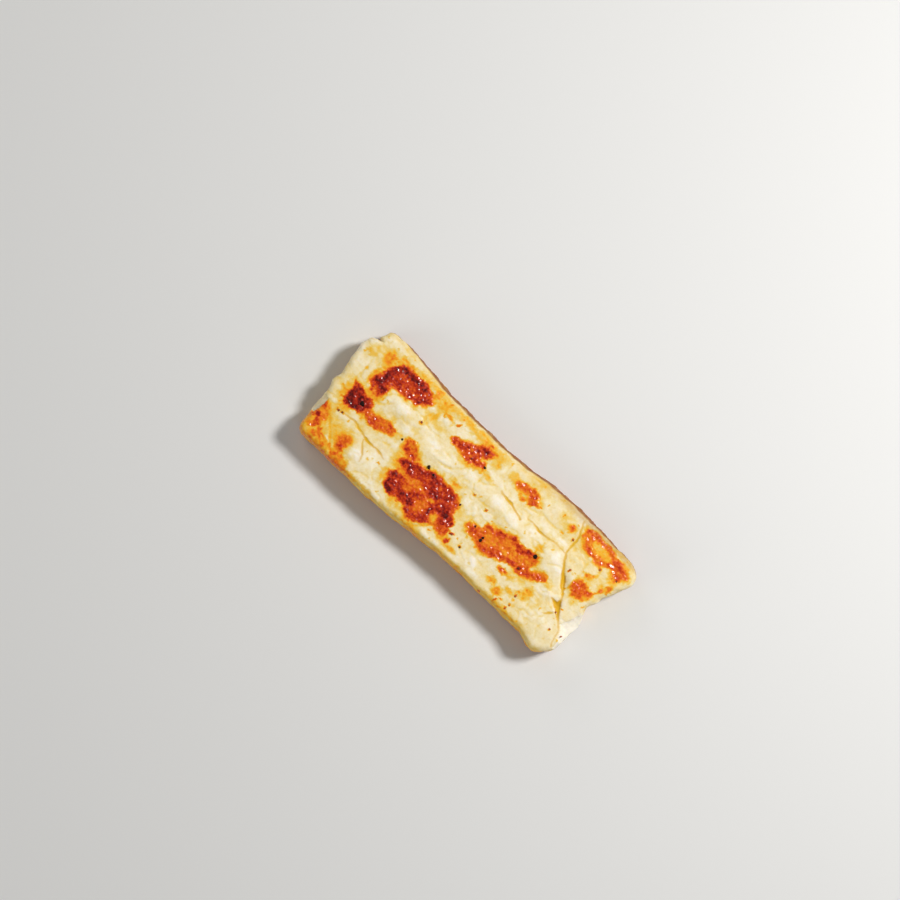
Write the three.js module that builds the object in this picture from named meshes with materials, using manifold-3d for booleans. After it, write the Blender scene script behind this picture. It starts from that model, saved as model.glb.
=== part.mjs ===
// A slice of grilled halloumi: one flat slab of folded cheese lying on its underside.
// X runs along the slice, Y across it and Z up, in millimetres. The origin is under the middle, on the table.
import * as THREE from "three";
import { mergeVertices } from "three/addons/utils/BufferGeometryUtils.js";
import Module from "manifold-3d";

// Driving dimensions
const LEFT_END = -52.2;
const RIGHT_END = 50.3;
const HALF_WIDTH = 19.2;
const THICKNESS = 11;
const TOP_EDGE_RADIUS = 1.9;
const BOTTOM_EDGE_RADIUS = 1.0;
const CORNER_RADIUS = 3.6;
const PRESSED_FLAT = 0.3;
const GRID_STEP = 1.35;
const SIDE_STEPS = 5;

// The long sides: the low one comes in towards the right end, the high one has a waist.
const LOW_SIDE = { left: -21.35, right: -18.25, from: -26, to: 14 };
const HEEL = { at: 44.6, out: 1.3, spread: 3.2 };
const HIGH_SIDE = { line: 19.3, waist: 2.5, waistAt: -12, waistHalf: 25 };
// How much further out each side stands at its foot than at the top's edge.
const SIDE_FLARE = { high: 1.6, low: 0.1, ends: 0.1 };
const FLARE_FADE = { from: 30, over: 20, by: 0.7 };
const RIPPLE = 0.2;
const RIPPLE_REACH = 5;
const RIPPLE_TURN = 2.6;
const BULGE = 0.35;

// The ends: lobes that stand out and bites that go in, each at its place across the slice.
const LEFT_LOBES = [
  { at: 10.6, out: 2.3, spread: 3.0 },
  { at: -3.2, out: 1.2, spread: 2.2 },
  { at: 14.7, out: -0.9, spread: 0.8 },
  { at: -17.5, out: -1.0, spread: 3.2 },
];
const RIGHT_LOBES = [
  { at: 15.0, out: 3.0, spread: 5.2 },
  { at: 0.6, out: -1.9, spread: 3.2 },
  { at: 5.6, out: -0.7, spread: 1.8 },
  { at: -17.6, out: -1.2, spread: 3.0 },
];
const END_REACH = 9;

// Where the edge of the top breaks away to a lower ledge.
const LEDGES = [
  { x: 50.6, y: -5.4, long: 2.6, across: 4.6, drop: 4.6 },
  { x: -52.6, y: -11.8, long: 1.9, across: 2.6, drop: 3.4 },
  { x: -53.6, y: 14.2, long: 1.6, across: 1.0, drop: 1.6 },
];

// Soft swellings and hollows of the top. Turn is in degrees from X.
const CROWN = 0.45;
const SWELLINGS = [
  { x: -32.5, y: 4.2, long: 7.5, across: 3.0, turn: 6, rise: 0.8 },
  { x: -14, y: 1.8, long: 8, across: 2.4, turn: 14, rise: 0.5 },
  { x: 12, y: 3.2, long: 12, across: 3.2, turn: -3, rise: 0.85 },
  { x: 30.5, y: 3.4, long: 4.5, across: 4.2, turn: -50, rise: 0.95 },
  { x: 37.2, y: -4.2, long: 2.6, across: 1.6, turn: -35, rise: 0.7 },
  { x: 41.5, y: 8.5, long: 8, across: 7, turn: 0, rise: 0.35 },
  { x: 42.5, y: -13.2, long: 5, across: 4, turn: 0, rise: 0.6 },
  { x: -33, y: -15, long: 6, across: 4, turn: 0, rise: 0.5 },
  { x: -47, y: 4.5, long: 4, across: 8, turn: 0, rise: 0.3 },
  { x: 41.2, y: -5.0, long: 1.9, across: 1.2, turn: 12, rise: -1.3 },
  { x: 38.3, y: 1.6, long: 3.4, across: 1.1, turn: -52, rise: -0.8 },
  { x: -22, y: 9, long: 4, across: 3.5, turn: 0, rise: -0.4 },
  { x: 25, y: 10.5, long: 9, across: 2.2, turn: 0, rise: -0.35 },
];
const UNEVEN = { rise: 0.14, first: { x: 0.62, y: 0.31, phase: 0.7 }, second: { x: -0.12, y: 0.83, phase: 1.9 } };

// The folds and cracks, each a route of points across the top: x, y and the crack's width there.
const CRACKS = {
  fold: [
    [29.8, 18.6, 0.3], [31.2, 16.2, 0.5], [32.2, 13.4, 0.6], [32.5, 10.6, 0.6], [33.3, 7.4, 0.7], [36.2, 4.0, 0.9],
    [38.3, 1.3, 1.6], [40.2, -1.4, 0.9], [41.7, -4.2, 1.3], [43.6, -6.9, 1.0], [46.4, -9.5, 0.5], [48.3, -14.6, 0.3],
  ],
  fold_spur: [[42.5, -7.8, 0.4], [41.3, -8.7, 0.5], [39.9, -9.4, 0.2]],
  middle: [[6.2, 7.7, 0.2], [8.6, 7.2, 0.5], [11.4, 6.8, 0.5], [15.6, 5.8, 0.3]],
  middle_end: [[17.4, 6.8, 0.2], [22.5, 7.2, 0.35], [28.5, 7.4, 0.35], [32.3, 8.3, 0.3]],
  left: [[-46.2, -8.9, 0.3], [-43, -8.3, 0.5], [-39.4, -8.2, 0.5], [-34.2, -9.5, 0.7], [-29.8, -9.4, 0.5], [-24.5, -10, 0.2]],
  left_branch: [[-33.9, -9.8, 0.4], [-32.4, -12.6, 0.5], [-30.2, -16.2, 0.2]],
};
const CRACK_DEPTH_PER_WIDTH = 1.5;
const CRACK_STEP = 1.1;
const CRACK_CLEARANCE = 1.5;

// The largest flakes of black pepper stuck to the top: x, y and size.
const PEPPER = [
  [-41.7, -2.7, 1.3], [26.8, 0.8, 1.2], [11.8, -7.2, 1.1], [-14.3, -2.4, 1.0], [11.9, -6.1, 0.8], [-25.8, -1.9, 0.8],
  [-2.3, 9.1, 0.8], [7.9, -5.3, 0.8], [-25.3, 5.7, 0.7], [8.8, -13.0, 0.7], [37.2, 5.2, 0.8], [30.9, -11.8, 0.7],
];
const PEPPER_SUNK = 0.25;
const PEPPER_FLATNESS = 0.75;

const CHEESE_COLOUR = 0xeedcae;
const CHEESE_ROUGHNESS = 0.45;

const clamp01 = (t) => Math.min(Math.max(t, 0), 1);
const smooth = (t) => clamp01(t) ** 2 * (3 - 2 * clamp01(t));
const bell = (t) => Math.exp(-t * t);
const lerp = (a, b, t) => a + (b - a) * t;

// A fixed irregular wave along an edge, between about -1 and 1.
function wave(t, phase) {
  return 0.5 * Math.sin(0.55 * t + phase) + 0.3 * Math.sin(1.27 * t + 2.1 * phase) + 0.2 * Math.sin(2.31 * t + 3.7 * phase);
}

function lobes(list, y) {
  return list.reduce((sum, lobe) => sum + lobe.out * bell((y - lobe.at) / lobe.spread), 0);
}

// How much of a round-shouldered patch of the top lies at a point, from 0 to 1.
function patch(shape, x, y) {
  const turn = THREE.MathUtils.degToRad(shape.turn ?? 0);
  const dx = x - shape.x;
  const dy = y - shape.y;
  const along = (dx * Math.cos(turn) + dy * Math.sin(turn)) / shape.long;
  const across = (dy * Math.cos(turn) - dx * Math.sin(turn)) / shape.across;
  return bell(Math.hypot(along, across));
}

// The box's sharp edges all round its top and bottom become quarter rounds.
function roundEdges(p, half) {
  const top = p.z > 0;
  const radius = top ? TOP_EDGE_RADIUS : BOTTOM_EDGE_RADIUS;
  const dx = Math.max(Math.abs(p.x) - (half.x - radius), 0);
  const dy = Math.max(Math.abs(p.y) - (half.y - radius), 0);
  const dz = Math.max(Math.abs(p.z) - (half.z - radius), 0);
  const outward = Math.max(dx, dy);
  if (outward === 0 || dz === 0) return p;
  const shrink = Math.max(outward, dz) / Math.hypot(outward, dz);
  return new THREE.Vector3(
    Math.sign(p.x) * (Math.abs(p.x) - dx + dx * shrink),
    Math.sign(p.y) * (Math.abs(p.y) - dy + dy * shrink),
    Math.sign(p.z) * (Math.abs(p.z) - dz + dz * shrink),
  );
}

// The four upright corners become round in plan.
function roundCorners(p, half) {
  const dx = Math.max(Math.abs(p.x) - (half.x - CORNER_RADIUS), 0);
  const dy = Math.max(Math.abs(p.y) - (half.y - CORNER_RADIUS), 0);
  if (dx === 0 || dy === 0) return p;
  const shrink = Math.max(dx, dy) / Math.hypot(dx, dy);
  p.x = Math.sign(p.x) * (Math.abs(p.x) - dx + dx * shrink);
  p.y = Math.sign(p.y) * (Math.abs(p.y) - dy + dy * shrink);
  return p;
}

function lowSide(x) {
  const taper = lerp(LOW_SIDE.left, LOW_SIDE.right, smooth((x - LOW_SIDE.from) / (LOW_SIDE.to - LOW_SIDE.from)));
  return taper - HEEL.out * bell((x - HEEL.at) / HEEL.spread);
}

function highSide(x) {
  return HIGH_SIDE.line - HIGH_SIDE.waist * Math.exp(-(((x - HIGH_SIDE.waistAt) / HIGH_SIDE.waistHalf) ** 4));
}

// Moves a point of the plain slab to the uneven outline of the slice. Height runs from 0 at the table to 1 at the top.
function outline(p, height, half) {
  const across = (p.y / half.y + 1) / 2;
  const foot = 1 - smooth(height);
  const nearSide = Math.abs(p.y) / half.y;
  const faded = 1 - FLARE_FADE.by * smooth((Math.abs(p.x) - FLARE_FADE.from) / FLARE_FADE.over);
  const high = highSide(p.x) + foot * SIDE_FLARE.high * faded;
  const low = lowSide(p.x) - foot * SIDE_FLARE.low;
  const bulge = BULGE * Math.sin(Math.PI * height);
  const turn = RIPPLE_TURN * height;
  const sideOut = bulge + RIPPLE * wave(p.x, across * 4 + 1 + turn);
  const y = lerp(low, high, across) + Math.sign(p.y) * sideOut * nearSide ** RIPPLE_REACH;
  const fromLeft = p.x - LEFT_END;
  const fromRight = RIGHT_END - p.x;
  const endOut = bulge + foot * SIDE_FLARE.ends;
  const leftOut = lobes(LEFT_LOBES, y) + endOut + RIPPLE * wave(y, 0.4 + turn);
  const rightOut = lobes(RIGHT_LOBES, y) + endOut + RIPPLE * wave(y, 2.6 + turn);
  const x = p.x - leftOut * (1 - smooth(fromLeft / END_REACH)) + rightOut * (1 - smooth(fromRight / END_REACH));
  return [x, y];
}

// Height of the top's relief above the flat slab.
function relief(x, y) {
  const crown = CROWN * (1 - (x / RIGHT_END) ** 2) * (1 - (y / HALF_WIDTH) ** 2);
  const swelling = SWELLINGS.reduce((sum, shape) => sum + shape.rise * patch(shape, x, y), 0);
  const broken = LEDGES.reduce((sum, ledge) => sum + ledge.drop * patch(ledge, x, y), 0);
  const sway = ({ x: perX, y: perY, phase }) => wave(x * perX + y * perY, phase);
  const uneven = UNEVEN.rise * sway(UNEVEN.first) * sway(UNEVEN.second);
  return crown + swelling - broken + uneven;
}

// The closed surface of a geometry as a solid that can be joined and cut.
function solid(geometry) {
  const bare = geometry.clone();
  bare.deleteAttribute("normal");
  bare.deleteAttribute("uv");
  const merged = mergeVertices(bare, 1e-4);
  return new wasm.Manifold(
    new wasm.Mesh({
      numProp: 3,
      vertProperties: new Float32Array(merged.attributes.position.array),
      triVerts: new Uint32Array(merged.index.array),
    }),
  );
}

// The slab bulges a little below the table's level, and the table presses it flat there.
function slab() {
  const half = new THREE.Vector3((RIGHT_END - LEFT_END) / 2, HALF_WIDTH, (THICKNESS + PRESSED_FLAT) / 2);
  const middle = (RIGHT_END + LEFT_END) / 2;
  const steps = (size) => Math.round((2 * size) / GRID_STEP);
  const box = new THREE.BoxGeometry(2 * half.x, 2 * half.y, 2 * half.z, steps(half.x), steps(half.y), SIDE_STEPS);
  const position = box.attributes.position;
  for (let i = 0; i < position.count; i++) {
    const p = roundCorners(roundEdges(new THREE.Vector3().fromBufferAttribute(position, i), half), half);
    p.x += middle;
    const height = (p.z + half.z) / (2 * half.z);
    const [x, y] = outline(p, height, half);
    position.setXYZ(i, x, y, p.z + half.z - PRESSED_FLAT + relief(x, y) * smooth(2 * height - 1));
  }
  const table = new THREE.BoxGeometry(4 * half.x, 4 * half.y, THICKNESS).translate(0, 0, -THICKNESS / 2);
  return solid(box).subtract(solid(table));
}

// A knife-shaped wedge along a crack's route, wide at the surface and sharp below it, to be cut out of the top.
function crackWedge(route) {
  const path = new THREE.CatmullRomCurve3(route.map(([x, y]) => new THREE.Vector3(x, y, 0)));
  const widths = new THREE.CatmullRomCurve3(route.map(([, , width], i) => new THREE.Vector3(i, width, 0)));
  const steps = Math.round(path.getLength() / CRACK_STEP);
  const corners = [];
  for (let i = 0; i <= steps; i++) {
    const centre = path.getPoint(i / steps);
    const aside = path.getTangent(i / steps).cross(new THREE.Vector3(0, 0, 1)).normalize();
    const width = widths.getPoint(i / steps).y;
    const surface = THICKNESS + relief(centre.x, centre.y);
    const bottom = surface - CRACK_DEPTH_PER_WIDTH * width;
    const reach = ((surface + CRACK_CLEARANCE - bottom) / (surface - bottom)) * (width / 2);
    const left = centre.clone().addScaledVector(aside, -reach).setZ(surface + CRACK_CLEARANCE);
    const right = centre.clone().addScaledVector(aside, reach).setZ(surface + CRACK_CLEARANCE);
    corners.push(left, right, centre.clone().setZ(bottom));
  }
  const index = [0, 2, 1];
  for (let i = 0; i < steps; i++) {
    for (let side = 0; side < 3; side++) {
      const a = 3 * i + side;
      const b = 3 * i + ((side + 1) % 3);
      index.push(a, b, b + 3, a, b + 3, a + 3);
    }
  }
  const last = 3 * steps;
  index.push(last, last + 1, last + 2);
  const wedge = new THREE.BufferGeometry().setFromPoints(corners);
  wedge.setIndex(index);
  return solid(wedge);
}

// One flat, angular flake, pressed a little into the cheese.
function pepperFlake([x, y, size], number) {
  const flake = new THREE.IcosahedronGeometry(size / 2, 0);
  flake.scale(1, 0.8, PEPPER_FLATNESS);
  flake.rotateZ(number * 2.4);
  flake.translate(x, y, THICKNESS + relief(x, y) + (PEPPER_FLATNESS / 2 - PEPPER_SUNK) * size);
  return solid(flake);
}

function meshOf(manifold, name, material) {
  const made = manifold.getMesh();
  const geometry = new THREE.BufferGeometry();
  geometry.setAttribute("position", new THREE.BufferAttribute(made.vertProperties, 3));
  geometry.setIndex(new THREE.BufferAttribute(made.triVerts, 1));
  geometry.computeVertexNormals();
  geometry.computeBoundingBox();
  const middle = geometry.boundingBox.getCenter(new THREE.Vector3());
  geometry.translate(-middle.x, -middle.y, -geometry.boundingBox.min.z);
  const mesh = new THREE.Mesh(geometry, material);
  mesh.name = name;
  return mesh;
}

const wasm = await Module();
wasm.setup();

let slice = slab();
for (const route of Object.values(CRACKS)) slice = slice.subtract(crackWedge(route));
PEPPER.forEach((flake, number) => {
  slice = slice.add(pepperFlake(flake, number));
});

const cheese = new THREE.MeshStandardMaterial({ color: CHEESE_COLOUR, roughness: CHEESE_ROUGHNESS, metalness: 0 });
const group = new THREE.Group();
group.add(meshOf(slice, "halloumi_slice", cheese));

export default group;
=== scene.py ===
import math

import bpy
import numpy as np
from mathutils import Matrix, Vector, noise


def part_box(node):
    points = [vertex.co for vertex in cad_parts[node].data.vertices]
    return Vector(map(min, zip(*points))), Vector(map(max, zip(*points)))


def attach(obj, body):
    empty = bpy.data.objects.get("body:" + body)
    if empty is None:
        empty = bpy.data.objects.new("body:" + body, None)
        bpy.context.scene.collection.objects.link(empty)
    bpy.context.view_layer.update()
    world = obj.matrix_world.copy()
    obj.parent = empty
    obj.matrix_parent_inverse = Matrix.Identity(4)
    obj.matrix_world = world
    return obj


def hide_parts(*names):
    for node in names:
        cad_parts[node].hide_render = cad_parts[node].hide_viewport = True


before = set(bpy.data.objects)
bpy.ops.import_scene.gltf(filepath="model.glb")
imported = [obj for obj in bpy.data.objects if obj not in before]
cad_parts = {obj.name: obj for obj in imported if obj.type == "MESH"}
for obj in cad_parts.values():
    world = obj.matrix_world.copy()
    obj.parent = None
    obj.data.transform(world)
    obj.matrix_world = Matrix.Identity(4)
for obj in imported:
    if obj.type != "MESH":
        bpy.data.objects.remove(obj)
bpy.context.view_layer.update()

# A slice of grilled halloumi, looked at from nearly above.
# Its shape is worked out in millimetres, with X along it, Y across it and Z up from the table.
MM = 0.001
NODE = "halloumi_slice"

# The plain slab
LEFT_END, RIGHT_END = -52.2, 50.3
HALF_WIDTH = 19.2
THICKNESS = 11.0
PRESSED_FLAT = 0.3
TOP_EDGE_RADIUS, BOTTOM_EDGE_RADIUS, CORNER_RADIUS = 1.9, 1.0, 3.6
HALF = np.array([(RIGHT_END - LEFT_END) / 2, HALF_WIDTH, (THICKNESS + PRESSED_FLAT) / 2])
MIDDLE = (RIGHT_END + LEFT_END) / 2

# The fine grid of the top and sides. The flat underside has one cell for every COARSE by COARSE fine ones.
GRID_STEP = 0.255
SIDE_STEP = 0.65
COARSE = 3

# The long sides: the low one comes in towards the right end, the high one has a waist.
LOW_SIDE = {"left": -21.35, "right": -18.25, "from": -26, "to": 14}
HEEL = {"at": 44.6, "out": 1.3, "spread": 3.2}
HIGH_SIDE = {"line": 19.3, "waist": 2.5, "waist_at": -12, "waist_half": 25}
SIDE_FLARE = {"high": 1.6, "low": 0.1, "ends": 0.1}
FLARE_FADE = {"from": 30, "over": 20, "by": 0.7}
RIPPLE, RIPPLE_REACH, RIPPLE_TURN = 0.2, 5, 2.6
BULGE = 0.35

# The ends' lobes and bites: place across the slice, how far out, spread.
LEFT_LOBES = [
    (10.4, 2.5, 3.2), (13.3, 0.8, 1), (5.2, 1.8, 2.8), (1.4, 0.7, 2), (-3.2, 1.1, 2.4), (14.8, -1.3, 0.45),
    (17, -0.6, 1.6), (-17.5, -1, 3.2),
]
RIGHT_LOBES = [(15, 3, 5.2), (0.6, -1.9, 3.2), (5.6, -0.7, 1.8), (-17.6, -1.2, 3)]
END_REACH = 9

# Where the edge of the top breaks away to a lower ledge: x, y, long, across, turn in degrees, rise.
LEDGES = [(50.6, -5, 2.6, 4.6, 0, -3.4), (-52.6, -11.8, 1.9, 2.6, 0, -3.4), (-52.4, 15, 1.2, 0.5, 0, -1.2)]

# Soft swellings and hollows of the top, in the same form.
CROWN = 0.45
SWELLINGS = [
    (-32.5, 4.2, 7.5, 3, 6, 0.8), (-14, 1.8, 8, 2.4, 14, 0.5), (12, 3.2, 12, 3.2, -3, 0.65),
    (30.5, 3.4, 4.5, 4.2, -50, 0.95), (37.2, -4.2, 2.6, 1.6, -35, 0.35), (41.5, 8.5, 8, 7, 0, 0.35),
    (42.5, -13.2, 5, 4, 0, 0.6), (-33, -15, 6, 4, 0, 0.5), (-47, 4.5, 4, 8, 0, 0.3),
    (41.2, -5, 1.9, 1.2, 12, -0.7), (38.3, 1.6, 3.4, 1.1, -52, -0.8), (-22, 9, 4, 3.5, 0, -0.4),
    (25, 10.5, 9, 2.2, 0, -0.35),
]
UNEVEN_RISE = 0.14

# The folds and cracks, each a route across the top: x, y and width.
CRACKS = {
    "fold": [
        (30, 18.4, 0.3), (31.3, 15.8, 0.5), (32.3, 13.5, 0.6), (32.4, 10.8, 0.4), (32.6, 8.2, 0.5),
        (34, 6, 0.6), (35.8, 3.6, 0.8), (37.2, 2.1, 1.4), (38.3, 0.8, 1.4), (39.5, -0.6, 0.8),
        (40.6, -1.8, 0.4), (41.3, -3.1, 0.5), (41.9, -4.8, 1.6), (42.8, -6.1, 1.5), (44, -7.3, 0.8),
        (45.4, -8.5, 0.4), (47.1, -10.2, 0.35), (47.7, -12.4, 0.3), (48.7, -15.2, 0.3),
    ],
    "fold_spur": [(42.2, -7.6, 0.4), (41.1, -8.6, 0.6), (39.9, -9.8, 0.2)],
    "fold_notch": [(38.8, -4.5, 0.4), (40.2, -4.8, 1), (41.5, -5.3, 1.8)],
    "middle": [
        (6.2, 7.7, 0.2), (8, 7.2, 0.6), (10.3, 7.1, 0.8), (12.2, 6.6, 0.6), (14.4, 6, 0.5), (15.8, 5.6, 0.6),
    ],
    "middle_end": [
        (17.2, 7.3, 0.2), (20, 7.4, 0.4), (22.5, 7, 0.7), (25, 7.2, 0.5), (28, 7.8, 0.3), (32.2, 7.6, 0.3),
    ],
    "left": [
        (-46.2, -8.9, 0.3), (-43, -8.4, 0.4), (-40, -8, 0.5), (-38.4, -8.1, 0.5), (-37.2, -8.7, 0.5),
        (-35.3, -9, 0.5), (-33.3, -9.6, 0.8), (-30, -9.4, 0.5), (-28, -9.5, 0.6), (-25.6, -10.2, 0.2),
    ],
    "left_branch": [
        (-33.9, -10.2, 0.3), (-33, -11.8, 0.5), (-31.9, -12.9, 0.5), (-31, -13.8, 0.4), (-30.4, -15.6, 0.2),
    ],
}
CRACK_DEPTH_PER_WIDTH = 0.25
CRACK_WANDER = 0.22
FOLD_BANK = 0.06

# The thin valleys between the soft pillows of the cheese, routes in the same form.
VALLEYS = [
    [(-48.4, 3, 0.5), (-46, 2.2, 0.6), (-43.4, 1.8, 0.4)],
    [(-48.9, 9, 0.4), (-48.6, 5, 0.6), (-48.9, 0.6, 0.4)],
    [(-39.6, 1, 0.4), (-38.2, 1, 0.6), (-36.6, 2.3, 0.5), (-35.2, 3.8, 0.3)],
    [
        (-38.4, 2.6, 0.3), (-37.9, 5, 0.4), (-35.8, 6.6, 0.5), (-32, 7.2, 0.4), (-28.8, 6.6, 0.4),
        (-26.6, 5.4, 0.4),
    ],
    [
        (-15.6, 0.9, 0.3), (-12, 1.1, 0.5), (-9.4, 2, 0.6), (-8.2, 3.2, 0.5), (-6.8, 4.3, 0.5),
        (-6.2, 5.4, 0.3),
    ],
    [(-14.6, 4.5, 0.3), (-12.8, 4.3, 0.5), (-10.6, 4, 0.3)],
    [(-1, 5.2, 0.4), (1.4, 6, 0.5), (3.2, 7.4, 0.4)],
    [(-0.6, 5.2, 0.3), (-1.2, 3.6, 0.4), (-0.2, 1.8, 0.4), (1.6, 0.7, 0.3)],
    [(2, 1, 0.4), (4.5, 1.3, 0.5), (8.6, 1.7, 0.3)],
    [(4.6, 10.3, 0.3), (5.6, 9.4, 0.5), (6.8, 8.6, 0.4)],
    [(-5.4, 5.6, 0.3), (-4.9, 4, 0.4), (-5.6, 2.2, 0.3)],
    [(31, 1.8, 0.4), (33, 3.2, 0.6), (35.4, 4.1, 0.4)],
    [(-31.4, -7.4, 0.3), (-29, -6.4, 0.5), (-27, -5.8, 0.3)],
    [(-47.6, -11.8, 0.4), (-44.6, -13.8, 0.5), (-41.6, -16.8, 0.5), (-38.8, -19.4, 0.3)],
    [(-1, -13.4, 0.4), (-3, -15.4, 0.6), (-5.6, -18, 0.4)],
    [(11, -12.6, 0.3), (13.4, -11.8, 0.4), (17, -12.2, 0.3)],
    [(-30.2, -19.6, 0.3), (-28, -17.9, 0.5), (-25, -17.3, 0.3)],
    [(3, 14.8, 0.3), (3.3, 12.4, 0.4), (2.4, 10.6, 0.3)],
    [(-24, 6.6, 0.3), (-21, 5.9, 0.4), (-18.2, 6.4, 0.3)],
    [(12, 2.6, 0.3), (15, 1.6, 0.4), (18.4, 2.2, 0.3)],
    [(22.4, 3.8, 0.3), (24.6, 2.6, 0.5), (28.4, 3.2, 0.3)],
    [(8, -11.6, 0.3), (9.6, -13.8, 0.4), (12.6, -14.8, 0.3)],
    [(43, -10.6, 0.3), (41.8, -13.4, 0.4), (43.2, -16.4, 0.3)],
    [(-24.8, -12, 0.3), (-25.6, -14.4, 0.4), (-24, -16.6, 0.3)],
    [(19.6, 11.4, 0.3), (23.4, 11, 0.4), (27.6, 11.6, 0.3)],
    [(36.4, 10.4, 0.3), (39, 9.4, 0.4), (40, 6.8, 0.3)],
]
# How deep the valleys go, and how much painted shade they get.
VALLEY_DEPTH, VALLEY_SHADE = 0.1, 0.05
MILKY_RISE = 0.09

# The soft pillows themselves, then the lumps all over and the blisters of the crust.
# Each row of those is the width of one, how far it stands out, noise seed and octaves.
# The pillows' tops are painted a little lighter and the valleys between them darker: painted highlight and
# shade.
PILLOW = {"long": 6.5, "across": 2.8, "mean": 0.75, "rise": 0.09, "relief_shade_and_sheen": 0.05, "seed": 31}
LUMPS = [(4.2, 0.1, 13, 2), (1.5, 0.06, 14, 3)]
BLISTERS = [(2, 0.13, 15, 2), (0.78, 0.27, 16, 1)]

# The flap at the right end, a little over what lies beside it: its outline, how far it stands up, and its
# darker rim.
FLAP = [
    (33, 8.2), (36.4, 4.4), (38.4, 2.2), (39.6, 0.4), (40.8, -1.1), (41.7, -2.9), (42.8, -4.7), (43.9, -6.1),
    (45.2, -6.9), (46.6, -6.6), (47.4, -5.3), (47.9, -3.2), (48.8, -0.8), (56, 0), (56, 24), (34, 24),
    (32.8, 14),
]
FLAP_RISE, FLAP_REACH, FLAP_RIM_DARKER = 0.12, 6.0, 0.07

# Where the ends have broken away: how deep, and the outline of the broken place.
BROKEN = [
    (1.2, [
        (48.9, -1.6), (48.1, -4), (47.1, -6.4), (46.1, -8.5), (47.6, -10.3), (48.9, -12.4), (49.4, -15),
        (54, -15), (54, -1.6),
    ]),
    (2.4, [(-50.4, -8.6), (-50.1, -10.4), (-50.4, -12.6), (-50.9, -14.6), (-56, -15), (-56, -8.2)]),
]

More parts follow.
